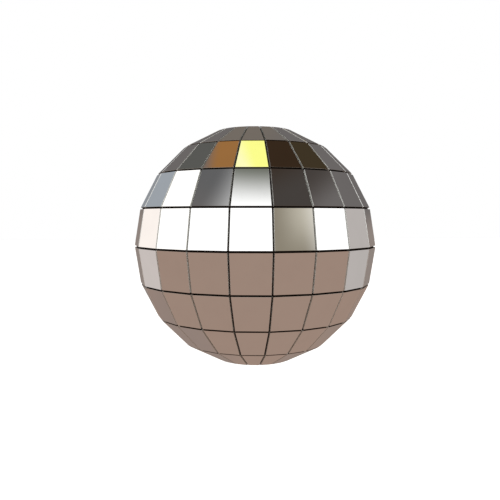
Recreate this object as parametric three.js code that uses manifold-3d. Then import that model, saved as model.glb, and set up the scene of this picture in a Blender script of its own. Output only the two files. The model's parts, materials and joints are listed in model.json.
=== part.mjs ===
// A 300 mm mirror ball. Flat glass mirrors, in ten bands of twenty, cover a faceted two-part core.
// A folding bail in a well at the top carries it on a thrust-bearing swivel, and a tie rod runs
// from the swivel's housing to the bottom.
// Millimetres, +Z up. The origin is the centre of the ball, which spins about Z.
import * as THREE from "three";
import { mergeVertices } from "three/addons/utils/BufferGeometryUtils.js";
import Module from "manifold-3d";

const wasm = await Module();
wasm.setup();

// ---------------------------------------------------------------- driving dimensions

const BALL_RADIUS = 150; // centre to the corners where facets meet
const COLUMNS = 20; // facets round the axis
const BANDS = 10; // facets from pole to pole
const GLASS = 2.5; // thickness of a mirror tile
const TILE_GAP = 2.2; // groove between neighbouring tiles
const BACKING = 0.8; // net that the tiles of one band are bonded to
const SHELL = 3; // wall of the moulded core
const FREE = 0.3; // gap between pieces that rest on each other
const POLE_OPENING = 32.8; // apothem at which the polar tiles stop
const RECESS = 31.9; // apothem of the core's recess at each pole

const ROUND = 40; // sides of a large turned part that shows
const HIDDEN_ROUND = 32; // sides of a turned part inside the core
const SMALL_ROUND = 24; // sides of a pin, a shank or a hole

// The splice ring inside the equator.
const SPLICE = { halfHeight: 12, wall: 2.5 };

// The well at the top, and what is screwed together under its floor.
const WELL = { rimRadius: 31.4, rimTop: 142.6, radius: 25.7, floorTop: 133, wall: 1.5, edge: 0.8, bore: 5.5 };
const OPENING = { radius: 28, bossRadius: 40 };
const GASKET = { inner: 28.4, thickness: 1 };
const SCREW = { circle: 20, count: 4, radius: 2, hole: 2.3, length: 9 };
const SCREW_HEAD = { radius: 3.4, height: 1.9, crown: 0.7, socket: 2.5, socketDepth: 1.2 };
const PLATE = { bore: 6, radius: 39, thickness: 2.5, edge: 1 };
const HOUSING = {
  flangeRadius: 24.5,
  flange: 3,
  roof: 4.1,
  bore: 5.4,
  radius: 17,
  cavity: 12.7,
  depth: 32.4,
};
const PLUG = { spigot: 12.3, spigotHeight: 8, flange: 3.2 };
const BEARING = { bore: 5.4, radius: 12.2, pitch: 8.6, ball: 2.4, balls: 8, race: 2.7, gap: 3.8 };
const CAGE = { inner: 6.4, outer: 11, halfHeight: 0.7 };

// The spindle that stays still while the ball turns, and the bail pinned to its head.
const SPINDLE = { head: 7.6, headFoot: 133.8, top: 146.4, shaft: 5, foot: 106.3, chamfer: 1 };
const SPINDLE_WASHER = { radius: 9.6, thickness: 0.9 };
const SPINDLE_NUT = { flats: 17, height: 6.4 };
const BAIL = { pinHeight: 139, wire: 2, halfWidth: 10.5, leg: 11, eye: 4.8, bore: 2.8 };
const PIN = { radius: 2.4, head: 3.9, headLength: 1.4, groove: 1.9, tail: 0.8 };
const CLIP = { inner: 2.1, outer: 4.4, thickness: 0.7, slit: 1.1 };

// The tie rod, and what it holds at the bottom.
const ROD = { radius: 4, chamfer: 0.8, hole: 4.6, nutFlats: 13, lockNut: 6, bottomNut: 4 };
const BOTTOM = { face: -146.4, wall: 1.2, edge: 0.8, capRadius: 30.4, rim: -137, seat: -136.6 };
const BOTTOM_PLATE = { radius: 28.6, thickness: 2 };
const SPRING_WASHER = { radius: 7.2, thickness: 1.3, slit: 0.25 };

// ---------------------------------------------------------------- finishes

const finish = (color, roughness, metalness) =>
  new THREE.MeshStandardMaterial({ color, roughness, metalness });
const MIRROR = finish(0xe4e7e8, 0.04, 1);
const CORE = finish(0x1d1b1a, 0.7, 0);
const STEEL = finish(0xb9bcbf, 0.3, 1);
const ZINC = finish(0x9fa3a6, 0.45, 1);
const BRASS = finish(0xb8974f, 0.35, 1);
const RUBBER = finish(0x141414, 0.85, 0);

// ---------------------------------------------------------------- solids

// A closed geometry as a manifold-3d solid.
function solid(geometry) {
  const bare = new THREE.BufferGeometry();
  bare.setAttribute("position", geometry.attributes.position);
  bare.setIndex(geometry.index);
  const merged = mergeVertices(bare, 1e-4);
  return new wasm.Manifold(
    new wasm.Mesh({
      numProp: 3,
      vertProperties: merged.attributes.position.array,
      triVerts: new Uint32Array(merged.index.array),
    }),
  );
}

// A named mesh of a manifold-3d solid.
function piece(name, body, material) {
  const { vertProperties, triVerts } = body.getMesh();
  const shared = new THREE.BufferGeometry();
  shared.setAttribute("position", new THREE.BufferAttribute(vertProperties, 3));
  shared.setIndex(new THREE.BufferAttribute(triVerts, 1));
  const faceted = shared.toNonIndexed();
  faceted.computeVertexNormals();
  const mesh = new THREE.Mesh(faceted, material);
  mesh.name = name;
  return mesh;
}

// A profile of [radius, height] points turned about Z. It starts and ends on the axis, or is a ring's.
function turned(profile, sides) {
  const points = profile.map(([r, z]) => new THREE.Vector2(r, z));
  if (THREE.ShapeUtils.area(points) < 0) points.reverse();
  if (points[0].x > 0) points.push(points[0].clone());
  return solid(new THREE.LatheGeometry(points, sides).rotateX(Math.PI / 2));
}

// The same with a flat side to each column, where the profile gives apothems and not corners.
function columned(profile) {
  const toCorner = 1 / Math.cos(Math.PI / COLUMNS);
  return turned(profile.map(([r, z]) => [r * toCorner, z]), COLUMNS);
}

// A ring of rectangular section.
function ring(inner, outer, bottom, top, sides = HIDDEN_ROUND) {
  return turned([[inner, bottom], [outer, bottom], [outer, top], [inner, top]], sides);
}

// A flat outline extruded upwards.
function slab(outline, bottom, height) {
  const options = { depth: height, bevelEnabled: false, curveSegments: 12 };
  return solid(new THREE.ExtrudeGeometry(outline, options).translate(0, 0, bottom));
}

// A long cylinder along Z, for cutting a hole.
function drill(radius, x, y) {
  const cutter = new THREE.CylinderGeometry(radius, radius, 2 * BALL_RADIUS, SMALL_ROUND);
  return solid(cutter.rotateX(Math.PI / 2).translate(x, y, 0));
}

// A cylinder along X through the origin.
function crossBar(radius, length) {
  return solid(new THREE.CylinderGeometry(radius, radius, length, SMALL_ROUND).rotateZ(Math.PI / 2));
}

// The outline of a hexagon nut, or of a hexagon socket where it has no bore.
function hexagon(flats, bore = 0) {
  const radius = flats / 2 / Math.cos(Math.PI / 6);
  const outline = new THREE.Shape(
    Array.from({ length: 6 }, (_, i) => {
      const turn = (Math.PI * i) / 3;
      return new THREE.Vector2(radius * Math.cos(turn), radius * Math.sin(turn));
    }),
  );
  if (bore > 0) outline.holes.push(new THREE.Path().absarc(0, 0, bore, 0, 2 * Math.PI));
  return outline;
}

// The outline of a ring with a slit, as a spring washer or a retaining clip. The slit is in radians.
function splitRing(inner, outer, slit) {
  const outline = new THREE.Shape();
  outline.absarc(0, 0, outer, slit / 2, 2 * Math.PI - slit / 2);
  outline.absarc(0, 0, inner, 2 * Math.PI - slit / 2, slit / 2, true);
  outline.closePath();
  return outline;
}

// ---------------------------------------------------------------- the facets of the ball

// Corner k of the section through the middle of a column, counted from the south pole.
function corner(k) {
  const latitude = Math.PI * (k / BANDS - 0.5);
  const apothem = BALL_RADIUS * Math.cos(latitude) * Math.cos(Math.PI / COLUMNS);
  return new THREE.Vector2(apothem, BALL_RADIUS * Math.sin(latitude));
}

// The line of band k, from corner k towards corner k + 1, moved inwards by a depth.
function bandLine(k, depth) {
  const start = corner(k);
  const along = corner(k + 1).sub(start).normalize();
  start.addScaledVector(new THREE.Vector2(-along.y, along.x), depth);
  return { start, along };
}

function crossing(a, b) {
  const reach = b.start.clone().sub(a.start).cross(b.along) / a.along.cross(b.along);
  return a.start.clone().addScaledVector(a.along, reach);
}

function atApothem(line, apothem) {
  return line.start.clone().addScaledVector(line.along, (apothem - line.start.x) / line.along.x);
}

// The two ends of band k at a depth under the mirrors. The polar bands stop at the opening.
function bandEnds(k, depth) {
  const line = bandLine(k, depth);
  const lower = k > 0 ? crossing(bandLine(k - 1, depth), line) : atApothem(line, POLE_OPENING);
  const upper = k < BANDS - 1 ? crossing(line, bandLine(k + 1, depth)) : atApothem(line, POLE_OPENING);
  return { lower, upper, along: line.along };
}

// One mirror tile of band k: a trapezoid that lies face up in the XY plane, its back in the net.
function tile(k) {
  const { lower, upper } = bandEnds(k, 0);
  const height = upper.distanceTo(lower);
  const halfLower = lower.x * Math.tan(Math.PI / COLUMNS);
  const halfUpper = upper.x * Math.tan(Math.PI / COLUMNS);
  const slant = Math.atan2(halfLower - halfUpper, height);
  const halfWidth = (y) =>
    THREE.MathUtils.lerp(halfLower, halfUpper, y / height + 0.5) - TILE_GAP / 2 / Math.cos(slant);
  const end = height / 2 - TILE_GAP / 2;
  const outline = new THREE.Shape([
    new THREE.Vector2(-halfWidth(-end), -end),
    new THREE.Vector2(halfWidth(-end), -end),
    new THREE.Vector2(halfWidth(end), end),
    new THREE.Vector2(-halfWidth(end), end),
  ]);
  const depth = GLASS + BACKING / 2;
  return new THREE.ExtrudeGeometry(outline, { depth, bevelEnabled: false }).translate(0, 0, -depth);
}

// Carries a tile from the XY plane to column j of band k.
function tilePlace(k, j) {
  const { lower, upper, along } = bandEnds(k, 0);
  const middle = lower.clone().lerp(upper, 0.5);
  const turn = ((j + 0.5) * 2 * Math.PI) / COLUMNS;
  const tangent = new THREE.Vector3(Math.cos(turn), Math.sin(turn), 0);
  const inSpace = (r, z) => new THREE.Vector3(r * Math.sin(turn), -r * Math.cos(turn), z);
  return new THREE.Matrix4()
    .makeBasis(tangent, inSpace(along.x, along.y), inSpace(along.y, -along.x))
    .setPosition(inSpace(middle.x, middle.y));
}

// The net behind a band, a little short of its neighbours.
function net(k) {
  const side = (depth) => {
    const { lower, upper, along } = bandEnds(k, depth);
    return [lower.addScaledVector(along, FREE / 2), upper.addScaledVector(along, -FREE / 2)];
  };
  const outline = [...side(GLASS), ...side(GLASS + BACKING).reverse()];
  return columned(outline.map((p) => [p.x, p.y]));
}

// A band is its net with twenty tiles bonded on.
function mirrorBand(k) {
  let band = net(k);
  for (let j = 0; j < COLUMNS; j += 1) {
    band = band.add(solid(tile(k).applyMatrix4(tilePlace(k, j))));
  }
  return band;
}

// Bands are counted away from the equator. The last one at each pole is the ring round its opening.
function bandName(k) {
  const half = BANDS / 2;
  if (k === 0) return "mirror_ring_bottom";
  if (k === BANDS - 1) return "mirror_ring_top";
  return k < half ? `mirror_band_lower_${half - k}` : `mirror_band_upper_${k - half + 1}`;
}

// ---------------------------------------------------------------- the core

const CORE_OUTER = GLASS + BACKING + FREE; // depth of the core's flat seats under the mirrors
const CORE_INNER = CORE_OUTER + SHELL;

// The corners from the equator to the last one before the top, at a depth under the mirrors.
function upperCorners(depth) {
  const points = [];
  for (let k = BANDS / 2; k < BANDS; k += 1) {
    const point = crossing(bandLine(k - 1, depth), bandLine(k, depth));
    points.push([point.x, Math.max(point.y, FREE / 2)]);
  }
  return points;
}

// The point of the top facet at an apothem, at a depth under the mirror.
function onTopFacet(apothem, depth) {
  const point = atApothem(bandLine(BANDS - 1, depth), apothem);
  return [point.x, point.y];
}

const wellFoot = WELL.floorTop - WELL.wall;
const gasketTop = WELL.rimTop - WELL.wall - FREE;

function coreUpper() {
  const seat = gasketTop - GASKET.thickness - FREE;
  return columned([
    ...upperCorners(CORE_OUTER),
    onTopFacet(RECESS, CORE_OUTER),
    [RECESS, seat],
    [OPENING.radius, seat],
    [OPENING.radius, wellFoot],
    [OPENING.bossRadius, wellFoot],
    onTopFacet(OPENING.bossRadius, CORE_INNER),
    ...upperCorners(CORE_INNER).reverse(),
  ]);
}

function coreLower() {
  const ceiling = BOTTOM.seat + SHELL;
  const downwards = ([r, z]) => [r, -z];
  return columned([
    ...upperCorners(CORE_OUTER).map(downwards),
    downwards(onTopFacet(RECESS, CORE_OUTER)),
    [RECESS, BOTTOM.seat],
    [ROD.hole, BOTTOM.seat],
    [ROD.hole, ceiling],
    [RECESS - SHELL, ceiling],
    downwards(onTopFacet(RECESS + 2 * SHELL, CORE_INNER)),
    ...upperCorners(CORE_INNER).map(downwards).reverse(),
  ]);
}

// The band inside the equator that lines the two halves up.
function spliceRing() {
  const wall = (depth) => {
    const { start, along } = bandLine(BANDS / 2, depth);
    const top = start.clone().addScaledVector(along, (SPLICE.halfHeight - start.y) / along.y);
    const waist = crossing(bandLine(BANDS / 2 - 1, depth), bandLine(BANDS / 2, depth));
    return [[top.x, -SPLICE.halfHeight], [waist.x, 0], [top.x, SPLICE.halfHeight]];
  };
  const outer = CORE_INNER + FREE;
  return columned([...wall(outer), ...wall(outer + SPLICE.wall).reverse()]);
}

// ---------------------------------------------------------------- the swivel in its well

const plateTop = wellFoot - FREE;
const housingTop = plateTop - PLATE.thickness - FREE;
const cavityTop = housingTop - HOUSING.roof;
const housingFoot = housingTop - HOUSING.depth;
const bearingMiddle = cavityTop - FREE - BEARING.race - BEARING.gap / 2;

const screwPlaces = Array.from({ length: SCREW.count }, (_, i) => {
  const turn = (2 * Math.PI * (i + 0.5)) / SCREW.count;
  return [SCREW.circle * Math.cos(turn), SCREW.circle * Math.sin(turn)];
});

function drilledForScrews(body) {
  return screwPlaces.reduce((left, [x, y]) => left.subtract(drill(SCREW.hole, x, y)), body);
}

function wellCup() {
  const { radius, wall, rimRadius, rimTop, floorTop, edge, bore } = WELL;
  const cup = [
    [bore, wellFoot],
    [radius + wall, wellFoot],
    [radius + wall, rimTop - wall],
    [rimRadius, rimTop - wall],
    [rimRadius, rimTop - edge],
    [rimRadius - edge, rimTop],
    [radius + edge, rimTop],
    [radius, rimTop - edge],
    [radius, floorTop],
    [bore, floorTop],
  ];
  return drilledForScrews(turned(cup, ROUND));
}

function loadPlate() {
  const { bore, radius, thickness, edge } = PLATE;
  const foot = plateTop - thickness;
  const plate = [
    [bore, foot],
    [radius - edge, foot],
    [radius, foot + edge],
    [radius, plateTop],
    [bore, plateTop],
  ];
  return drilledForScrews(turned(plate, HIDDEN_ROUND));
}

// A screw with a domed head and a hexagon socket. Its head stands on the floor of the well.
function capScrew(x, y) {
  const { radius, height, crown, socket, socketDepth } = SCREW_HEAD;
  const foot = WELL.floorTop + FREE;
  const top = foot + height;
  const profile = [
    [0, foot - SCREW.length],
    [SCREW.radius, foot - SCREW.length],
    [SCREW.radius, foot],
    [radius, foot],
    [radius, top - crown],
    [radius - crown, top],
    [0, top],
  ];
  const screw = turned(profile, SMALL_ROUND);
  return screw.subtract(slab(hexagon(socket), top - socketDepth, 2 * socketDepth)).translate([x, y, 0]);
}

function bearingHousing() {
  const { flangeRadius, flange, bore, radius, cavity } = HOUSING;
  const housing = [
    [bore, cavityTop],
    [cavity, cavityTop],
    [cavity, housingFoot],
    [radius, housingFoot],
    [radius, housingTop - flange],
    [flangeRadius, housingTop - flange],
    [flangeRadius, housingTop],
    [bore, housingTop],
  ];
  return drilledForScrews(turned(housing, HIDDEN_ROUND));
}

const plugTop = housingFoot - FREE;
const plugFoot = plugTop - PLUG.flange;

// Closes the housing and takes the tie rod.
function housingPlug() {
  const bore = ROD.radius + FREE;
  const plug = [
    [bore, plugFoot],
    [HOUSING.radius, plugFoot],
    [HOUSING.radius, plugTop],
    [PLUG.spigot, plugTop],
    [PLUG.spigot, plugTop + PLUG.spigotHeight],
    [bore, plugTop + PLUG.spigotHeight],
  ];
  return turned(plug, HIDDEN_ROUND);
}

// The race above the balls, where side is 1, or the one below, where it is -1.
function bearingRace(side) {
  const { bore, radius, pitch, ball, race, gap } = BEARING;
  const grooveRadius = ball + FREE;
  const spread = Math.acos(gap / 2 / grooveRadius);
  const groove = Array.from({ length: 5 }, (_, i) => {
    const turn = spread * (i / 2 - 1);
    return [pitch + grooveRadius * Math.sin(turn), bearingMiddle + side * grooveRadius * Math.cos(turn)];
  });
  const face = bearingMiddle + (side * gap) / 2;
  const back = face + side * race;
  return turned([[bore, back], [bore, face], ...groove, [radius, face], [radius, back]], HIDDEN_ROUND);
}

// The cage with its balls, which roll round at half the speed of the race that turns.
function ballCage() {
  const { pitch, ball, balls } = BEARING;
  const { inner, outer, halfHeight } = CAGE;
  let cage = ring(inner, outer, bearingMiddle - halfHeight, bearingMiddle + halfHeight);
  for (let i = 0; i < balls; i += 1) {
    const turn = (2 * Math.PI * i) / balls;
    const sphere = new THREE.SphereGeometry(ball, 10, 6);
    sphere.translate(pitch * Math.cos(turn), pitch * Math.sin(turn), bearingMiddle);
    cage = cage.add(solid(sphere));
  }
  return cage;
}

// The stud that the ball turns on. Its head carries the pin of the bail.
function spindle() {
  const { head, headFoot, top, shaft, foot, chamfer } = SPINDLE;
  const profile = [
    [0, foot],
    [shaft - chamfer, foot],
    [shaft, foot + chamfer],
    [shaft, headFoot],
    [head, headFoot],
    [head, top - chamfer],
    [head - chamfer, top],
    [0, top],
  ];
  const pinHole = crossBar(BAIL.bore, 4 * head).translate([0, 0, BAIL.pinHeight]);
  return turned(profile, HIDDEN_ROUND).subtract(pinHole);
}

const washerTop = bearingMiddle - BEARING.gap / 2 - BEARING.race - FREE;
const spindleNutTop = washerTop - SPINDLE_WASHER.thickness - FREE;

// The bail about its pin: two legs along Y, a half round crown, and an eye on each leg.
function bail() {
  const { wire, halfWidth, leg, eye, bore } = BAIL;
  const at = (x, y) => new THREE.Vector3(x, y, 0);
  const halfCircle = new THREE.EllipseCurve(0, leg, halfWidth, halfWidth, Math.PI, 0, true);
  const crown = new THREE.CatmullRomCurve3(halfCircle.getPoints(12).map((p) => at(p.x, p.y)));
  const route = new THREE.CurvePath();
  route.add(new THREE.LineCurve3(at(-halfWidth, wire), at(-halfWidth, leg)));
  route.add(crown);
  route.add(new THREE.LineCurve3(at(halfWidth, leg), at(halfWidth, wire)));
  const section = new THREE.Shape().absarc(0, 0, wire, 0, 2 * Math.PI);
  const rod = new THREE.ExtrudeGeometry(section, { extrudePath: route, steps: 30, curveSegments: 5 });
  const body = [-halfWidth, halfWidth].reduce(
    (joined, side) => joined.add(crossBar(eye, 2 * wire).translate([side, 0, 0])),
    solid(rod),
  );
  return body.subtract(crossBar(bore, 4 * halfWidth));
}

const eyeFace = BAIL.halfWidth + BAIL.wire; // outer face of an eye, from the middle
const grooveStart = eyeFace + FREE;

// The pin runs along X, with a flat head at one end and a groove for its clip at the other.
function bailPin() {
  const { radius, head, headLength, groove, tail } = PIN;
  const headFace = -eyeFace - FREE;
  const grooveEnd = grooveStart + CLIP.thickness + FREE;
  const profile = [
    [0, headFace - headLength],
    [head, headFace - headLength],
    [head, headFace],
    [radius, headFace],
    [radius, grooveStart],
    [groove, grooveStart],
    [groove, grooveEnd],
    [radius, grooveEnd],
    [radius, grooveEnd + tail],
    [0, grooveEnd + tail],
  ];
  return turned(profile, SMALL_ROUND).rotate([0, 90, 0]).translate([0, 0, BAIL.pinHeight]);
}

function pinClip() {
  const clip = slab(splitRing(CLIP.inner, CLIP.outer, CLIP.slit), grooveStart + FREE / 2, CLIP.thickness);
  return clip.rotate([0, 90, 0]).translate([0, 0, BAIL.pinHeight]);
}

// ---------------------------------------------------------------- the tie rod and the bottom

const bottomPlateTop = BOTTOM.seat - FREE;
const springTop = bottomPlateTop - BOTTOM_PLATE.thickness - FREE;
const bottomNutTop = springTop - SPRING_WASHER.thickness - FREE;

function tieRod() {
  const { radius, chamfer } = ROD;
  const foot = BOTTOM.face + BOTTOM.wall + FREE;
  const top = plugTop + PLUG.spigotHeight;
  const profile = [
    [0, foot],
    [radius - chamfer, foot],
    [radius, foot + chamfer],
    [radius, top - chamfer],
    [radius - chamfer, top],
    [0, top],
  ];
  return turned(profile, SMALL_ROUND);
}

// A nut on the tie rod, of a height that hangs down from its top face.
function rodNut(top, height) {
  return slab(hexagon(ROD.nutFlats, ROD.radius + FREE), top - height, height);
}

// The shallow cup that hides the nut and gives the ball a flat foot.
function bottomCap() {
  const { face, wall, edge, capRadius, rim } = BOTTOM;
  const cap = [
    [0, face],
    [capRadius - edge, face],
    [capRadius, face + edge],
    [capRadius, rim],
    [capRadius - wall, rim],
    [capRadius - wall, face + wall],
    [0, face + wall],
  ];
  return turned(cap, ROUND);
}

// ---------------------------------------------------------------- assembly

const bands = Array.from({ length: BANDS }, (_, k) => piece(bandName(k), mirrorBand(k), MIRROR));

const core = [
  piece("core_upper", coreUpper(), CORE),
  piece("core_lower", coreLower(), CORE),
  piece("splice_ring", spliceRing(), CORE),
];

const top = [
  piece("well_cup", wellCup(), STEEL),
  piece("well_gasket", ring(GASKET.inner, WELL.rimRadius, gasketTop - GASKET.thickness, gasketTop), RUBBER),
  piece("load_plate", loadPlate(), ZINC),
  piece("bearing_housing", bearingHousing(), ZINC),
  piece("housing_plug", housingPlug(), ZINC),
  piece("upper_race", bearingRace(1), STEEL),
  ...screwPlaces.map(([x, y], i) => piece(`cap_screw_${i + 1}`, capScrew(x, y), STEEL)),
];

const bottom = [
  piece("tie_rod", tieRod(), ZINC),
  piece("rod_lock_nut", rodNut(plugFoot - FREE, ROD.lockNut), ZINC),
  piece("bottom_plate",
    ring(ROD.hole, BOTTOM_PLATE.radius, bottomPlateTop - BOTTOM_PLATE.thickness, bottomPlateTop), ZINC),
  piece("spring_washer",
    slab(splitRing(ROD.radius + FREE, SPRING_WASHER.radius, SPRING_WASHER.slit),
      springTop - SPRING_WASHER.thickness, SPRING_WASHER.thickness), STEEL),
  piece("bottom_nut", rodNut(bottomNutTop, ROD.bottomNut), ZINC),
  piece("bottom_cap", bottomCap(), STEEL),
];

const hanger = [
  piece("swivel_spindle", spindle(), STEEL),
  piece("lower_race", bearingRace(-1), STEEL),
  piece("spindle_washer",
    ring(BEARING.bore, SPINDLE_WASHER.radius, washerTop - SPINDLE_WASHER.thickness, washerTop), ZINC),
  piece("spindle_nut",
    slab(hexagon(SPINDLE_NUT.flats, SPINDLE.shaft + FREE), spindleNutTop - SPINDLE_NUT.height,
      SPINDLE_NUT.height), ZINC),
  piece("bail_pin", bailPin(), STEEL),
  piece("pin_clip", pinClip(), STEEL),
];

// The bail lies folded down towards +Y, about its pin.
const bailOnPin = piece("bail", bail(), STEEL);
bailOnPin.position.z = BAIL.pinHeight;

const mirrorBall = new THREE.Group();
mirrorBall.add(...bands, ...core, ...top, ...bottom, ...hanger, bailOnPin);
mirrorBall.add(piece("ball_cage", ballCage(), BRASS));

export default mirrorBall;
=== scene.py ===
"""The look of a 300 mm mirror ball: separate glass tiles with ground edges on a black net, a
brushed steel well with the folded bail in the top, and a brushed steel cap at the bottom, in a
studio of soft boxes.

Lengths are in metres. The profiles, outlines and routes of the turned and bent pieces, and the
constants for them, are in millimetres. Angle constants are in degrees."""

import json
import math
import random

import bmesh
import bpy
from mathutils import Matrix, Vector


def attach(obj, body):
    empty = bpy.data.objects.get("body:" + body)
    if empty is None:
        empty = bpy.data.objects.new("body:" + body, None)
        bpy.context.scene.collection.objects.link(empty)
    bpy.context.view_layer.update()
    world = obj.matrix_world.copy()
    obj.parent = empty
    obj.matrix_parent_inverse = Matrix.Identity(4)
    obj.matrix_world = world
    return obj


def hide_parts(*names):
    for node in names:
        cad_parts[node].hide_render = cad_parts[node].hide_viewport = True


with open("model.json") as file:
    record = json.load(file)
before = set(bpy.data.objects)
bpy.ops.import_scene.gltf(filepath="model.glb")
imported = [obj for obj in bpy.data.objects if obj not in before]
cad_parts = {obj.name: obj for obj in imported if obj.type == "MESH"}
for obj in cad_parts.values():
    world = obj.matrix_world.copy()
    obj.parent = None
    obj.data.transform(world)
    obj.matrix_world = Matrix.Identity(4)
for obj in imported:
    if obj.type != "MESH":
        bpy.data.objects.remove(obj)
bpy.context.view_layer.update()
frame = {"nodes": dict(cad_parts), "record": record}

MM = 0.001

# The facets of the ball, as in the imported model.
BALL_RADIUS = 150 * MM
COLUMNS = 20
BANDS = 10
POLE_OPENING = 32.8 * MM

# A tile and what is behind it.
GLASS = 2.45 * MM
FACE_GAP = 2.25 * MM  # the groove between two faces
BACK_GAP = 1.6 * MM  # the same at the back, because the side edges are cut a little out of square
ROW_GAP = 2.25 * MM  # the groove between two bands
ARRIS = 0.12 * MM  # the broken edge round the face
NET_TOP = 2.55 * MM
NET_BOTTOM = 3.25 * MM
NET_SHORT = 0.15 * MM  # how far a band's net stops short of the next one
TILE_TILT = 0.1  # how far a tile may sit out of true
TILT_SEED = 20

# The surfaces of a tile, and what covers each of them.
FACE, SIDE, END, BACK = range(4)
# The third material, on the upper and lower edges, is painted shade.
TILE_MATERIALS = ("mirror_face", "mirror_edge", "painted_shade_edge", "mirror_back")
LEVEL = 0.9  # a tile's face and back have a normal this upright or more

# Turned and bent pieces, in millimetres.
ROUND = 128  # sides of a large turned piece
SMALL_ROUND = 48  # sides of a small one
WIRE_SIDES = 24
HOLE_SIDES = 32
FILLET_STEPS = 4
FILLET_SHARE = 0.45  # of a profile's side, the most that one fillet takes up
SHARP_ANGLE = 35  # an edge that turns more than this stays sharp
MERGE_DISTANCE = 1e-7  # in metres
SCREW_CIRCLE = 20  # radius on which the four cap screws stand
SCREW_HOLE = 2.3  # radius
SOCKET = 1.44  # corner radius of a cap screw's hexagon socket
PIN_HEIGHT = 139
PIN_BORE = 2.8  # radius of the holes for the bail's pin
BAIL_HALF_WIDTH = 10.5
BAIL_LEG = 11.0  # the straight part, from the pin's axis to where the crown begins
BAIL_WIRE = 2.0  # radius
BAIL_STEPS = 36
EYE_RADIUS = 4.8
CLIP_INNER = 2.1
CLIP_OUTER = 4.4
CLIP_SLIT = 0.55  # half the slit's angle, in radians
CLIP_STEPS = 40
CLIP_SPAN = (12.95, 13.65)  # along the pin

# The camera looks from a little above the equator, almost along a groove.
CAMERA_AZIMUTH = -7.45
CAMERA_ELEVATION = 2.75
CAMERA_DISTANCE = 5.08 * BALL_RADIUS
CAMERA_PITCH = -3.205
CAMERA_TURN = 0.46
CAMERA_LENS = 43.27
CAMERA_SENSOR = 36.0
CAMERA_NEAR = 0.01

FLOOR_DEPTH = 1.2
FLOOR_SIZE = 60.0


# ---------------------------------------------------------------- node helpers


def linear(hex_colour):
    """The linear RGBA of an sRGB hex colour."""
    channels = [int(hex_colour[i : i + 2], 16) / 255 for i in (0, 2, 4)]
    curve = [c / 12.92 if c <= 0.04045 else ((c + 0.055) / 1.055) ** 2.4 for c in channels]
    return (*curve, 1.0)


class Nodes:
    """A node tree, with short calls for the nodes that the materials and the studio use."""

    def __init__(self, tree):
        self.tree = tree
        tree.nodes.clear()

    def new(self, kind, inputs=(), **settings):
        node = self.tree.nodes.new(kind)
        for name, value in settings.items():
            setattr(node, name, value)
        for key, value in dict(inputs).items():
            self.put(node.inputs[key], value)
        return node

    def put(self, socket, value):
        if isinstance(value, bpy.types.NodeSocket):
            self.tree.links.new(value, socket)
        else:
            socket.default_value = value

    def math(self, operation, *values):
        return self.new("ShaderNodeMath", enumerate(values), operation=operation).outputs[0]

    def ramp(self, value, low, high, to_low=0.0, to_high=1.0, smooth=False):
        """value carried from low..high to to_low..to_high."""
        inputs = {
            "Value": value,
            "From Min": low,
            "From Max": high,
            "To Min": to_low,
            "To Max": to_high,
        }
        kind = "SMOOTHSTEP" if smooth else "LINEAR"
        return self.new("ShaderNodeMapRange", inputs, interpolation_type=kind).outputs["Result"]

    def mix(self, factor, under, over):
        """The colour under where factor is 0 and the colour over where it is 1."""
        node = self.new("ShaderNodeMix", data_type="RGBA")
        colours = [s for s in node.inputs if s.type == "RGBA"]
        self.put(node.inputs["Factor"], factor)
        self.put(colours[0], under)
        self.put(colours[1], over)
        return next(s for s in node.outputs if s.type == "RGBA")

    def noise(self, place, scale, detail=3.0, roughness=0.5):
        inputs = {"Vector": place, "Scale": scale, "Detail": detail, "Roughness": roughness}
        return self.new("ShaderNodeTexNoise", inputs).outputs["Fac"]

    def surface(self, tint, roughness, **inputs):
        """A principled shader. The other inputs go by their own names."""
        inputs |= {"Base Color": tint, "Roughness": roughness}
        return self.new("ShaderNodeBsdfPrincipled", inputs)


# ---------------------------------------------------------------- the studio

# Each soft box: azimuth of its middle from the camera, elevation, half width, half height, how wide
# its soft edge is across and up, and its colour. A later one lies over an earlier one.
SOFT_BOXES = {
    "ground_back": (180, -22, 30, 8, 10, 10, "8f827b"),
    "ground_back_left": (-150, -36, 22, 14, 10, 12, "94837b"),
    "horizon_back": (180, -4, 52, 6.5, 3, 3, "90857f"),
    "ceiling_left": (-132, 50, 28, 13, 6, 6, "5a5a57"),
    "ceiling_right": (85, 62.4, 56, 22, 5, 6, "37291d"),
    "ceiling_right_back": (134, 52, 9, 9, 6, 6, "3f3526"),
    "ceiling_right_low": (70, 46.5, 40, 6.7, 10, 5, "46413e"),
    "ceiling_front": (-3, 62, 14, 8, 10, 4, "696c62"),
    "ceiling_front_left": (-66, 58, 14, 10, 6, 6, "626263"),
    "ceiling_back": (-176, 46, 14, 7, 8, 8, "756d65"),
    "wall_left": (-143, 14.5, 20, 11, 16, 2, "9fa5ac"),
    "fill_left_low": (-122, -9, 11, 10, 2, 2, "cbc2be"),
    "fill_right": (117, -2, 14, 18, 2, 2, "b9b3b0"),
    "gap_right": (36, 15, 8, 14, 3, 3, "8d8576"),
    "gap_glow": (40.5, 23.5, 3.2, 9, 4, 5, "c3bdae"),
}
WHITE_BOXES = {
    "box_front": (-9.5, 27.5, 41.5, 28.3, 8, 5, "ffffff"),
    "box_front_left": (-47, 27.5, 6, 28.5, 11.5, 5, "ffffff"),
    "box_left": (-85, 21, 32, 21.5, 3, 3, "fffdfa"),
    "box_right": (71.3, 17, 30.7, 17, 5, 5, "ffffff"),
    "box_back": (177, 21, 4, 18, 2, 2, "ffffff"),
    "box_back_right": (137.5, 12.5, 6.5, 7.5, 2, 2, "ffffff"),
    "box_back_top": (-178, 56, 10, 3, 2, 2, "ffffff"),
}
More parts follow.
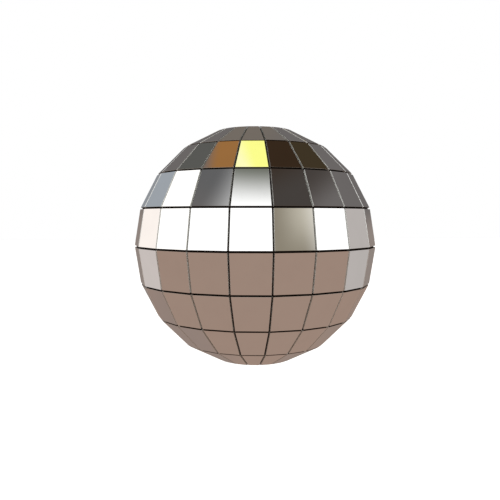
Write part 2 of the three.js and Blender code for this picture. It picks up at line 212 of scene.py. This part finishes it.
LAMPS = {
    "lamp_orange": (-141, 71, 26, 5.2, 6, 1.8, "986b3d"),
    "lamp_gold": (-176, 66, 16, 8, 3, 3, "b98f3a"),
    "lamp_yellow": (-160, 85, 70, 6, 2, 2, "fdfe8e"),
    "lamp_pale": (-148, 84, 8, 5, 18, 2, "fffcc0"),
    "lamp_warm": (-122, 12, 5.5, 12, 2, 3, "fcf3ed"),
}
WALL = "6c6867"
GROUND = "9f887b"
WHITE_STRENGTH = 1.25
LAMP_STRENGTH = 1.05


def studio_coordinates(nodes):
    """Azimuth from the camera and elevation of a ray that leaves the scene, in degrees."""
    ray = nodes.new("ShaderNodeTexCoord").outputs["Generated"]
    split = nodes.new("ShaderNodeSeparateXYZ", {"Vector": ray}).outputs
    behind = nodes.math("MULTIPLY", split["Y"], -1.0)
    turn = nodes.math("DEGREES", nodes.math("ARCTAN2", split["X"], behind))
    azimuth = nodes.math("SUBTRACT", turn, CAMERA_AZIMUTH)
    elevation = nodes.math("DEGREES", nodes.math("ARCSINE", split["Z"]))
    return azimuth, elevation


def box_mask(nodes, coordinates, box):
    """1 inside a soft box and 0 outside."""
    azimuth, elevation = coordinates
    middle, height, half_width, half_height, edge_across, edge_up = box
    across = nodes.math("WRAP", nodes.math("SUBTRACT", azimuth, middle), 180.0, -180.0)
    up = nodes.math("SUBTRACT", elevation, height)
    inside = [
        nodes.ramp(nodes.math("ABSOLUTE", value), half + edge / 2, half - edge / 2, smooth=True)
        for value, half, edge in ((across, half_width, edge_across), (up, half_height, edge_up))
    ]
    return nodes.math("MULTIPLY", *inside)


def build_studio():
    """A world of soft boxes that the tiles reflect. The camera itself sees plain white."""
    world = bpy.data.worlds.new("studio")
    world.use_nodes = True
    bpy.context.scene.world = world
    nodes = Nodes(world.node_tree)
    coordinates = studio_coordinates(nodes)
    above_horizon = nodes.ramp(coordinates[1], -1.0, 1.0, smooth=True)
    colour = nodes.mix(above_horizon, linear(GROUND), linear(WALL))
    layers = ((SOFT_BOXES, 1.0), (WHITE_BOXES, WHITE_STRENGTH), (LAMPS, LAMP_STRENGTH))
    for boxes, strength in layers:
        for *box, paint in boxes.values():
            light = [strength * c for c in linear(paint)[:3]] + [1.0]
            colour = nodes.mix(box_mask(nodes, coordinates, box), colour, light)
    seen = nodes.new("ShaderNodeLightPath").outputs["Is Camera Ray"]
    colour = nodes.mix(seen, colour, (1.0, 1.0, 1.0, 1.0))
    background = nodes.new("ShaderNodeBackground", {"Color": colour, "Strength": 1.0})
    nodes.new("ShaderNodeOutputWorld", {"Surface": background.outputs[0]})


def build_floor():
    """A plain white floor. The tiles see past it to the studio's ground."""
    mesh = bpy.data.meshes.new("floor")
    half = FLOOR_SIZE / 2
    corners = [(-half, -half), (half, -half), (half, half), (-half, half)]
    mesh.from_pydata([(x, y, -FLOOR_DEPTH) for x, y in corners], [], [(0, 1, 2, 3)])
    floor = bpy.data.objects.new("floor", mesh)
    bpy.context.collection.objects.link(floor)
    floor.visible_glossy = False
    paint = bpy.data.materials.new("floor")
    paint.use_nodes = True
    nodes = Nodes(paint.node_tree)
    glow = {"Emission Color": (1.0, 1.0, 1.0, 1.0), "Emission Strength": 0.8}
    shader = nodes.surface((0.9, 0.9, 0.9, 1.0), 0.9, **glow)
    nodes.new("ShaderNodeOutputMaterial", {"Surface": shader.outputs[0]})
    mesh.materials.append(paint)


def build_camera():
    azimuth, elevation = math.radians(CAMERA_AZIMUTH), math.radians(CAMERA_ELEVATION)
    away = (
        math.sin(azimuth) * math.cos(elevation),
        -math.cos(azimuth) * math.cos(elevation),
        math.sin(elevation),
    )
    data = bpy.data.cameras.new("camera")
    data.lens = CAMERA_LENS
    data.sensor_width = CAMERA_SENSOR
    data.clip_start = CAMERA_NEAR
    camera = bpy.data.objects.new("camera", data)
    camera.location = CAMERA_DISTANCE * Vector(away)
    camera.rotation_euler = (
        math.radians(90 + CAMERA_PITCH),
        0.0,
        math.radians(CAMERA_AZIMUTH + CAMERA_TURN),
    )
    bpy.context.collection.objects.link(camera)
    bpy.context.scene.camera = camera


# ---------------------------------------------------------------- materials


def material(name, build):
    """A material whose nodes build(nodes) makes. It returns the surface shader."""
    made = bpy.data.materials.new(name)
    made.use_nodes = True
    nodes = Nodes(made.node_tree)
    shader = build(nodes)
    nodes.new("ShaderNodeOutputMaterial", {"Surface": shader.outputs[0]})
    return made


def object_place(nodes):
    return nodes.new("ShaderNodeTexCoord").outputs["Object"]


def bump(nodes, height, strength, distance):
    inputs = {"Height": height, "Strength": strength, "Distance": distance}
    return nodes.new("ShaderNodeBump", inputs).outputs["Normal"]


def mirror_face(nodes):
    """Silvered glass, a little smudged."""
    place = object_place(nodes)
    smudge = nodes.ramp(nodes.noise(place, 34.0, 5.0, 0.62), 0.45, 0.75)
    tint = nodes.mix(smudge, (0.955, 0.957, 0.952, 1.0), (0.925, 0.927, 0.922, 1.0))
    return nodes.surface(tint, nodes.ramp(smudge, 0.0, 1.0, 0.012, 0.05), Metallic=1.0)


def mirror_edge(nodes):
    """The ground side edge of a tile, satin with a fine grain."""
    place = object_place(nodes)
    grain = nodes.noise(place, 2600.0, 2.0)
    cloud = nodes.noise(place, 260.0)
    tint = nodes.mix(cloud, (0.86, 0.86, 0.84, 1.0), (0.72, 0.73, 0.71, 1.0))
    return nodes.surface(tint, nodes.ramp(grain, 0.3, 0.7, 0.3, 0.45), Metallic=1.0)


def painted_shade_edge(nodes):
    """The upper and lower edge of a tile, darkened brown as painted shade for the grooves between
    the bands.
    """
    place = object_place(nodes)
    stain_and_shade = nodes.noise(place, 210.0, 4.0)
    # The dark brown tint is painted shade for the grooves between the bands; the noise only varies
    # it at random.
    tint = nodes.mix(stain_and_shade, (0.40, 0.36, 0.32, 1.0), (0.26, 0.22, 0.19, 1.0))
    return nodes.surface(tint, nodes.ramp(stain_and_shade, 0.3, 0.7, 0.1, 0.25), Metallic=1.0)


def mirror_back(nodes):
    """The grey paint over the silvering."""
    cloud = nodes.noise(object_place(nodes), 180.0)
    tint = nodes.mix(cloud, (0.10, 0.10, 0.105, 1.0), (0.07, 0.07, 0.075, 1.0))
    return nodes.surface(tint, 0.55)


def black_net(nodes):
    """A woven black net soaked in adhesive."""
    place = object_place(nodes)
    wave = {"Vector": place, "Scale": 900.0, "Distortion": 0.6}
    threads = [
        nodes.new("ShaderNodeTexWave", wave, bands_direction=axis).outputs["Fac"]
        for axis in "XZ"
    ]
    weave = nodes.math("MAXIMUM", *threads)
    cloud = nodes.noise(place, 120.0)
    tint = nodes.mix(cloud, (0.006, 0.003, 0.002, 1.0), (0.014, 0.008, 0.005, 1.0))
    dull = {"Specular IOR Level": 0.1, "Normal": bump(nodes, weave, 0.4, 0.0002)}
    return nodes.surface(tint, 0.9, **dull)


def black_plastic(nodes):
    """Moulded plastic with a fine spark-eroded texture."""
    place = object_place(nodes)
    grain = nodes.noise(place, 1400.0, 4.0)
    cloud = nodes.noise(place, 30.0)
    tint = nodes.mix(cloud, (0.014, 0.013, 0.012, 1.0), (0.024, 0.022, 0.020, 1.0))
    roughness = nodes.ramp(grain, 0.3, 0.7, 0.45, 0.65)
    return nodes.surface(tint, roughness, Normal=bump(nodes, grain, 0.25, 0.0001))


def rubber(nodes):
    """Matt black rubber."""
    grain = nodes.noise(object_place(nodes), 900.0, 5.0)
    tint = nodes.mix(grain, (0.012, 0.012, 0.012, 1.0), (0.03, 0.03, 0.03, 1.0))
    return nodes.surface(tint, 0.85, Normal=bump(nodes, grain, 0.3, 0.0001))


def distance_from_axis(nodes, place):
    """The distance from the ball's axis, and the height."""
    split = nodes.new("ShaderNodeSeparateXYZ", {"Vector": place}).outputs
    flat = nodes.new("ShaderNodeCombineXYZ", {"X": split["X"], "Y": split["Y"], "Z": 0.0})
    measure = nodes.new("ShaderNodeVectorMath", {0: flat.outputs[0]}, operation="LENGTH")
    return measure.outputs["Value"], split["Z"]


def brushed_steel(nodes):
    """Steel brushed on a lathe, with fine rings about the ball's axis."""
    place = object_place(nodes)
    radius, height = distance_from_axis(nodes, place)
    rings = nodes.new("ShaderNodeCombineXYZ", {"X": radius, "Y": height, "Z": 0.0}).outputs[0]
    brush = nodes.noise(rings, 5200.0, 4.0, 0.6)
    stain_and_shade = nodes.noise(place, 45.0, 4.0)
    tint = nodes.mix(stain_and_shade, (0.56, 0.56, 0.55, 1.0), (0.66, 0.66, 0.65, 1.0))
    roughness = nodes.ramp(brush, 0.25, 0.75, 0.24, 0.42)
    return nodes.surface(tint, roughness, Metallic=1.0, Normal=bump(nodes, brush, 0.12, 0.00004))


def plated_steel(nodes):
    """Bright plating with faint handling scratches."""
    place = object_place(nodes)
    along = {"Vector": place, "Scale": (1.0, 0.12, 1.0)}
    stretched = nodes.new("ShaderNodeMapping", along).outputs[0]
    scratches = nodes.ramp(nodes.noise(stretched, 3000.0, 6.0, 0.7), 0.58, 0.66)
    cloud = nodes.noise(place, 90.0)
    tint = nodes.mix(cloud, (0.70, 0.71, 0.73, 1.0), (0.62, 0.63, 0.64, 1.0))
    roughness = nodes.ramp(scratches, 0.0, 1.0, 0.12, 0.3)
    relief = bump(nodes, scratches, 0.06, 0.00003)
    return nodes.surface(tint, roughness, Metallic=1.0, Normal=relief)


def zinc_plate(nodes):
    """Dull zinc plating with a cloudy spangle."""
    place = object_place(nodes)
    cells = nodes.new("ShaderNodeTexVoronoi", {"Vector": place, "Scale": 420.0}).outputs["Color"]
    spangle = nodes.new("ShaderNodeSeparateColor", {"Color": cells}).outputs[0]
    tint = nodes.mix(spangle, (0.44, 0.45, 0.46, 1.0), (0.56, 0.57, 0.58, 1.0))
    roughness = nodes.ramp(spangle, 0.0, 1.0, 0.32, 0.5)
    relief = bump(nodes, nodes.noise(place, 800.0, 3.0), 0.08, 0.00005)
    return nodes.surface(tint, roughness, Metallic=1.0, Normal=relief)


def brass(nodes):
    """Pressed brass, a little tarnished."""
    stain_and_shade = nodes.noise(object_place(nodes), 300.0, 4.0)
    tint = nodes.mix(stain_and_shade, (0.62, 0.44, 0.19, 1.0), (0.50, 0.34, 0.14, 1.0))
    return nodes.surface(tint, nodes.ramp(stain_and_shade, 0.3, 0.7, 0.22, 0.4), Metallic=1.0)


MATERIALS = {
    builder.__name__: material(builder.__name__, builder)
    for builder in (
        mirror_face,
        mirror_edge,
        painted_shade_edge,
        mirror_back,
        black_net,
        black_plastic,
        rubber,
        brushed_steel,
        plated_steel,
        zinc_plate,
        brass,
    )
}

# The record's material slots, and the material that each one's CAD nodes get.
SLOT_MATERIALS = {
    "mirror": "mirror_face",
    "core_plastic": "black_plastic",
    "brushed_cap": "brushed_steel",
    "bright_steel": "plated_steel",
    "zinc_steel": "zinc_plate",
    "cage_brass": "brass",
    "gasket": "rubber",
}


def finish_cad_nodes():
    """Gives every CAD node the procedural material of its slot."""
    for part in frame["record"]["subparts"]:
        mesh = frame["nodes"][part["node"]].data
        mesh.materials.clear()
        mesh.materials.append(MATERIALS[SLOT_MATERIALS[part["material_slot"]]])


# ---------------------------------------------------------------- meshes


def add_piece(name, mesh, body, slot_name, node, *materials):
    """Links a mesh as a piece that rides on a body and stands for a CAD node."""
    for each in materials:
        mesh.materials.append(MATERIALS[each])
    piece = bpy.data.objects.new(name, mesh)
    bpy.context.collection.objects.link(piece)
    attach(piece, body)
    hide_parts(node)
    return piece


def corner(k):
    """Corner k of the section through the middle of a column, counted from the south pole."""
    latitude = math.pi * (k / BANDS - 0.5)
    apothem = BALL_RADIUS * math.cos(latitude) * math.cos(math.pi / COLUMNS)
    return Vector((apothem, BALL_RADIUS * math.sin(latitude)))


def band_line(k, depth):
    """A point on band k's line and its direction, moved inwards by a depth."""
    along = (corner(k + 1) - corner(k)).normalized()
    return corner(k) + depth * Vector((-along.y, along.x)), along


def crossing(a, b):
    """The point where two lines meet."""
    (start, along), (other, across) = a, b
    gap = other - start
    reach = (gap.x * across.y - gap.y * across.x) / (along.x * across.y - along.y * across.x)
    return start + reach * along


def at_apothem(line, apothem):
    """The point of a line at a distance from the ball's axis."""
    start, along = line
    return start + along * ((apothem - start.x) / along.x)


def band_ends(k, depth):
    """The lower end, the upper end and the direction of band k at a depth under the mirrors."""
    line = band_line(k, depth)
    lower = upper = at_apothem(line, POLE_OPENING)
    if k > 0:
        lower = crossing(band_line(k - 1, depth), line)
    if k < BANDS - 1:
        upper = crossing(line, band_line(k + 1, depth))
    return lower, upper, line[1]


def band_name(k):
    half = BANDS // 2
    if k == 0:
        return "ring_bottom"
    if k == BANDS - 1:
        return "ring_top"
    return f"band_lower_{half - k}" if k < half else f"band_upper_{k - half + 1}"


def column_frame(turn):
    """The outward and the sideways direction of a column."""
    return Vector((math.sin(turn), -math.cos(turn), 0)), Vector((math.cos(turn), math.sin(turn), 0))


def tile_outline(k, gap, drop):
    """The corners of a tile, drop under its face, about its middle, with a gap between columns."""
    lower, upper, _ = band_ends(k, 0.0)
    height = (upper - lower).length
    half_lower = lower.x * math.tan(math.pi / COLUMNS)
    half_upper = upper.x * math.tan(math.pi / COLUMNS)
    slant = math.atan2(half_lower - half_upper, height)
    end = (height - ROW_GAP) / 2

    def half_width(y):
        share = y / height + 0.5
        return half_lower + share * (half_upper - half_lower) - gap / 2 / math.cos(slant)

    return [
        Vector((-half_width(-end), -end, -drop)),
        Vector((half_width(-end), -end, -drop)),
        Vector((half_width(end), end, -drop)),
        Vector((-half_width(end), end, -drop)),
    ]


def tile_place(k, turn):
    """Carries a tile from the XY plane, face up, to its column of band k."""
    lower, upper, along = band_ends(k, 0.0)
    outward, sideways = column_frame(turn)
    middle = (lower + upper) / 2
    up_slope = along.x * outward + Vector((0, 0, along.y))
    normal = along.y * outward - Vector((0, 0, along.x))
    place = middle.x * outward + Vector((0, 0, middle.y))
    return Matrix.Translation(place) @ Matrix((sideways, up_slope, normal)).transposed().to_4x4()


def tile_mesh(k):
    """One tile: a glass prism with the edges round its face and at its corners broken."""
    bm = bmesh.new()
    face = [bm.verts.new(p) for p in tile_outline(k, FACE_GAP, 0.0)]
    back = [bm.verts.new(p) for p in tile_outline(k, BACK_GAP, GLASS)]
    bm.faces.new(face)
    bm.faces.new(reversed(back))
    for i in range(4):
        after = (i + 1) % 4
        bm.faces.new((face[i], back[i], back[after], face[after]))
    broken = [e for e in bm.edges if max(v.co.z for v in e.verts) > -GLASS / 2]
    bmesh.ops.bevel(bm, geom=broken, offset=ARRIS, segments=1, profile=0.5, affect="EDGES")
    bm.normal_update()
    for f in bm.faces:
        across, along, up = (abs(value) for value in f.normal)
        if up > LEVEL:
            f.material_index = FACE if f.normal.z > 0 else BACK
        else:
            f.material_index = SIDE if across > along else END
    return bm


def tiles_of_band(k, chance):
    """Twenty separate tiles, each a little out of true."""
    whole = bmesh.new()
    one = tile_mesh(k)
    for j in range(COLUMNS):
        copy = bpy.data.meshes.new("tile")
        one.to_mesh(copy)
        turn = (j + 0.5) * 2 * math.pi / COLUMNS
        tilt = [
            Matrix.Rotation(math.radians(chance.uniform(-TILE_TILT, TILE_TILT)), 4, axis)
            for axis in "XY"
        ]
        copy.transform(tile_place(k, turn) @ tilt[0] @ tilt[1])
        whole.from_mesh(copy)
        bpy.data.meshes.remove(copy)
    one.free()
    mesh = bpy.data.meshes.new("tiles_" + band_name(k))
    whole.to_mesh(mesh)
    whole.free()
    return mesh


def net_of_band(k):
    """The faceted strip behind a band."""
    mesh = bpy.data.meshes.new("net_" + band_name(k))
    bm = bmesh.new()
    section = []
    for depth in (NET_TOP, NET_BOTTOM):
        lower, upper, along = band_ends(k, depth)
        ends = [lower + NET_SHORT * along, upper - NET_SHORT * along]
        section += ends if depth == NET_TOP else reversed(ends)
    to_corner = 1 / math.cos(math.pi / COLUMNS)
    rings = []
    for j in range(COLUMNS):
        outward, _ = column_frame(j * 2 * math.pi / COLUMNS)
        corners = [p.x * to_corner * outward + Vector((0, 0, p.y)) for p in section]
        rings.append([bm.verts.new(p) for p in corners])
    for j in range(COLUMNS):
        here, after = rings[j], rings[(j + 1) % COLUMNS]
        for i in range(4):
            n = (i + 1) % 4
            bm.faces.new((here[i], after[i], after[n], here[n]))
    bmesh.ops.recalc_face_normals(bm, faces=bm.faces)
    bm.to_mesh(mesh)
    bm.free()
    return mesh


def build_mirrors():
    """Each band of tiles and the net behind it. Together they stand for one CAD node."""
    chance = random.Random(TILT_SEED)
    for k in range(BANDS):
        name = band_name(k)
        node = "mirror_" + name
        tiles = tiles_of_band(k, chance)
        add_piece("tiles_" + name, tiles, "ball", "mirror", node, *TILE_MATERIALS)
        add_piece("net_" + name, net_of_band(k), "ball", "core_plastic", node, "black_net")


# ---------------------------------------------------------------- turned and bent pieces


def arc_corner(before, here, after, radius):
    """The points of a fillet at a corner of a profile."""
    into, away = (before - here).normalized(), (after - here).normalized()
    half = into.angle(away) / 2
    shorter = min((before - here).length, (after - here).length)
    reach = min(radius / math.tan(half), FILLET_SHARE * shorter)
    start, end = here + reach * into, here + reach * away
    middle = here + (into + away).normalized() * reach / math.cos(half)
    arm = start - middle
    sweep = arm.angle_signed(end - middle)
    points = []
    for i in range(FILLET_STEPS + 1):
        angle = -sweep * i / FILLET_STEPS
        x = arm.x * math.cos(angle) - arm.y * math.sin(angle)
        y = arm.x * math.sin(angle) + arm.y * math.cos(angle)
        points.append(middle + Vector((x, y)))
    return points


def rounded(profile):
    """A closed profile of (x, y, fillet radius) in millimetres, as points in metres."""
    points = [MM * Vector(p[:2]) for p in profile]
    made = []
    for i, here in enumerate(points):
        radius = MM * profile[i][2] if len(profile[i]) > 2 else 0
        if radius:
            made += arc_corner(points[i - 1], here, points[(i + 1) % len(points)], radius)
        else:
            made.append(here)
    return made


def smooth(mesh):
    """Smooth shading that keeps the clear edges sharp."""
    mesh.polygons.foreach_set("use_smooth", [True] * len(mesh.polygons))
    mesh.set_sharp_from_angle(angle=math.radians(SHARP_ANGLE))
    return mesh


def finished(bm, name):
    """The mesh of a bmesh, merged and with its faces turned outwards."""
    bmesh.ops.remove_doubles(bm, verts=bm.verts, dist=MERGE_DISTANCE)
    bmesh.ops.recalc_face_normals(bm, faces=bm.faces)
    mesh = bpy.data.meshes.new(name)
    bm.to_mesh(mesh)
    bm.free()
    return mesh


def lathe(name, profile, sides=ROUND):
    """A profile of (radius, height, fillet radius) turned about Z. Radii of 0 close it."""
    points = rounded(profile)
    bm = bmesh.new()
    turns = [2 * math.pi * i / sides for i in range(sides)]
    rings = [
        [bm.verts.new((p.x * math.cos(t), p.x * math.sin(t), p.y)) for t in turns]
        if p.x > 0
        else [bm.verts.new((0, 0, p.y))] * sides
        for p in points
    ]
    for lower, upper in zip(rings, rings[1:] + rings[:1]):
        for i in range(sides):
            j = (i + 1) % sides
            corners = list(dict.fromkeys((lower[i], lower[j], upper[j], upper[i])))
            if len(corners) > 2:
                bm.faces.new(corners)
    return finished(bm, name)


def prism(name, outline, low, high):
    """A closed outline of (x, y) in millimetres, raised from low to high."""
    bm = bmesh.new()
    foot = [bm.verts.new((MM * x, MM * y, MM * low)) for x, y in outline]
    head = [bm.verts.new((MM * x, MM * y, MM * high)) for x, y in outline]
    bm.faces.new(foot)
    bm.faces.new(head)
    for i in range(len(outline)):
        j = (i + 1) % len(outline)
        bm.faces.new((foot[i], foot[j], head[j], head[i]))
    return finished(bm, name)


def moved(mesh, x=0.0, y=0.0, z=0.0, turn=0.0, axis="Y"):
    """A mesh turned about an axis and then moved, in degrees and millimetres."""
    place = Matrix.Translation(MM * Vector((x, y, z)))
    mesh.transform(place @ Matrix.Rotation(math.radians(turn), 4, axis))
    return mesh


def combined(base, tools, operation):
    """A base mesh with each tool mesh cut from it or joined to it."""
    work = bpy.data.objects.new("work", base)
    bpy.context.collection.objects.link(work)
    others = []
    for tool in tools:
        other = bpy.data.objects.new("tool", tool)
        bpy.context.collection.objects.link(other)
        modifier = work.modifiers.new("combine", "BOOLEAN")
        modifier.operation = operation
        modifier.solver = "EXACT"
        modifier.object = other
        others.append(other)
    evaluated = work.evaluated_get(bpy.context.evaluated_depsgraph_get())
    made = bpy.data.meshes.new_from_object(evaluated)
    made.name = base.name
    for each in (work, *others):
        bpy.data.objects.remove(each)
    return made


def rod_about_x(name, profile, sides=ROUND):
    """A turned piece with its axis along X through the middle of the bail's pin."""
    return moved(lathe(name, profile, sides), z=PIN_HEIGHT, turn=90)


def pin_bore(reach):
    """What is drilled out for the bail's pin, as far as reach to each side."""
    outline = [(0, -reach), (PIN_BORE, -reach), (PIN_BORE, reach), (0, reach)]
    return rod_about_x("bore", outline)


def swept(name, route, radius, sides=WIRE_SIDES):
    """A round wire along a flat route of points (x, y) in millimetres."""
    bm = bmesh.new()
    points = [MM * Vector((x, y, 0)) for x, y in route]
    rings = []
    for i, here in enumerate(points):
        before, after = points[max(i - 1, 0)], points[min(i + 1, len(points) - 1)]
        along = (after - before).normalized()
        side = Vector((along.y, -along.x, 0))
        ring = []
        for k in range(sides):
            turn = 2 * math.pi * k / sides
            arm = math.cos(turn) * side + Vector((0, 0, math.sin(turn)))
            ring.append(bm.verts.new(here + MM * radius * arm))
        rings.append(ring)
    for here, after in zip(rings, rings[1:]):
        for k in range(sides):
            n = (k + 1) % sides
            bm.faces.new((here[k], here[n], after[n], after[k]))
    bm.faces.new(rings[0])
    bm.faces.new(rings[-1])
    return finished(bm, name)


# ---------------------------------------------------------------- the hanger and the caps


def circle_points(radius, turns):
    return [(radius * math.cos(t), radius * math.sin(t)) for t in turns]


def screw_places():
    return circle_points(SCREW_CIRCLE, [math.radians(45 + 90 * i) for i in range(4)])


def well_cup():
    """Pressed cup: a flat rim, a straight wall and a floor with a round corner."""
    cup = lathe("well_cup_brushed", [
        (5.5, 131.5),
        (27.2, 131.5, 1.6),
        (27.2, 141.1),
        (31.4, 141.1, 0.3),
        (31.4, 142.6, 0.7),
        (25.7, 142.6, 1.1),
        (25.7, 133.0, 1.0),
        (5.5, 133.0),
    ])
    hole = [(0, 130), (SCREW_HOLE, 130), (SCREW_HOLE, 135), (0, 135)]
    holes = [moved(lathe("hole", hole, HOLE_SIDES), x, y) for x, y in screw_places()]
    return combined(cup, holes, "DIFFERENCE")


def cap_screw(x, y):
    """Button-head screw with a hexagon socket."""
    screw = lathe("screw", [
        (0, 124.3),
        (2.0, 124.3, 0.3),
        (2.0, 133.3),
        (3.4, 133.3, 0.15),
        (3.4, 134.2, 0.5),
        (2.3, 135.2, 0.8),
        (0, 135.2),
    ], SMALL_ROUND)
    hexagon = circle_points(SOCKET, [math.pi * i / 3 for i in range(6)])
    socket = prism("socket", hexagon, 134.0, 136.0)
    return moved(combined(screw, [socket], "DIFFERENCE"), x, y)


def spindle():
    """The swivel's spindle, with a cross hole for the bail's pin."""
    body = lathe("spindle_plated", [
        (0, 106.3),
        (5.0, 106.3, 0.9),
        (5.0, 133.8),
        (7.6, 133.8, 0.4),
        (7.6, 146.4, 1.1),
        (0, 146.4),
    ])
    return combined(body, [pin_bore(12)], "DIFFERENCE")


def bail():
    """Bent wire with a drilled eye at each end."""
    side = BAIL_HALF_WIDTH
    crown = [math.pi * i / BAIL_STEPS for i in range(BAIL_STEPS + 1)]
    route = [(-side, 2.0), (-side, 7.0)]
    route += [(-side * math.cos(t), BAIL_LEG + side * math.sin(t)) for t in crown]
    route += [(side, 7.0), (side, 2.0)]
    wire = moved(swept("bail_plated", route, BAIL_WIRE), z=PIN_HEIGHT)
    eye = [
        (0, -BAIL_WIRE),
        (EYE_RADIUS, -BAIL_WIRE, 0.6),
        (EYE_RADIUS, BAIL_WIRE, 0.6),
        (0, BAIL_WIRE),
    ]
    eyes = [moved(rod_about_x("eye", eye, SMALL_ROUND), x=x) for x in (-side, side)]
    return combined(combined(wire, eyes, "UNION"), [pin_bore(20)], "DIFFERENCE")


def bail_pin():
    """The pin, with its head at one end and the clip's groove at the other."""
    return rod_about_x("bail_pin_plated", [
        (0, -14.2),
        (3.9, -14.2, 0.5),
        (3.9, -12.8, 0.2),
        (2.4, -12.8),
        (2.4, 12.8, 0.1),
        (1.9, 12.8),
        (1.9, 13.8),
        (2.4, 13.8, 0.1),
        (2.4, 14.6, 0.3),
        (0, 14.6),
    ], SMALL_ROUND)


def pin_clip():
    """Open spring clip in the pin's groove."""
    last = 2 * math.pi - CLIP_SLIT
    turns = [CLIP_SLIT + (last - CLIP_SLIT) * i / CLIP_STEPS for i in range(CLIP_STEPS + 1)]
    outline = circle_points(CLIP_OUTER, turns) + circle_points(CLIP_INNER, turns[::-1])
    return moved(prism("pin_clip_plated", outline, *CLIP_SPAN), z=PIN_HEIGHT, turn=90)


def gasket():
    """Flat rubber ring under the cup's rim."""
    return lathe("gasket_rubber", [
        (28.4, 139.8, 0.2),
        (31.4, 139.8, 0.2),
        (31.4, 140.8, 0.2),
        (28.4, 140.8, 0.2),
    ])


def bottom_cap():
    """Shallow pressed cap with a flat foot."""
    return lathe("bottom_cap_brushed", [
        (0, -146.4),
        (30.4, -146.4, 1.2),
        (30.4, -137.0, 0.3),
        (29.2, -137.0, 0.3),
        (29.2, -145.2, 0.6),
        (0, -145.2),
    ])


def build_metalwork():
    """Each piece of the hanger and the caps, with its body, slot, CAD node and material."""
    steel, plated = "bright_steel", "plated_steel"
    pieces = [
        ("well_cup_brushed", well_cup(), "ball", "brushed_cap", "well_cup", "brushed_steel"),
        ("gasket_rubber", gasket(), "ball", "gasket", "well_gasket", "rubber"),
    ]
    pieces += [
        (f"cap_screw_plated_{i}", cap_screw(x, y), "ball", steel, f"cap_screw_{i}", plated)
        for i, (x, y) in enumerate(screw_places(), 1)
    ]
    pieces += [
        ("bottom_cap_brushed", bottom_cap(), "ball", "brushed_cap", "bottom_cap", "brushed_steel"),
        ("spindle_plated", spindle(), "hanger", steel, "swivel_spindle", plated),
        ("bail_pin_plated", bail_pin(), "hanger", steel, "bail_pin", plated),
        ("pin_clip_plated", pin_clip(), "hanger", steel, "pin_clip", plated),
        ("bail_plated", bail(), "bail", steel, "bail", plated),
    ]
    for name, mesh, body, slot_name, node, cover in pieces:
        add_piece(name, smooth(mesh), body, slot_name, node, cover)


# ---------------------------------------------------------------- the scene

bpy.context.scene.view_settings.view_transform = "Standard"
build_camera()
build_studio()
build_floor()
finish_cad_nodes()
build_mirrors()
build_metalwork()
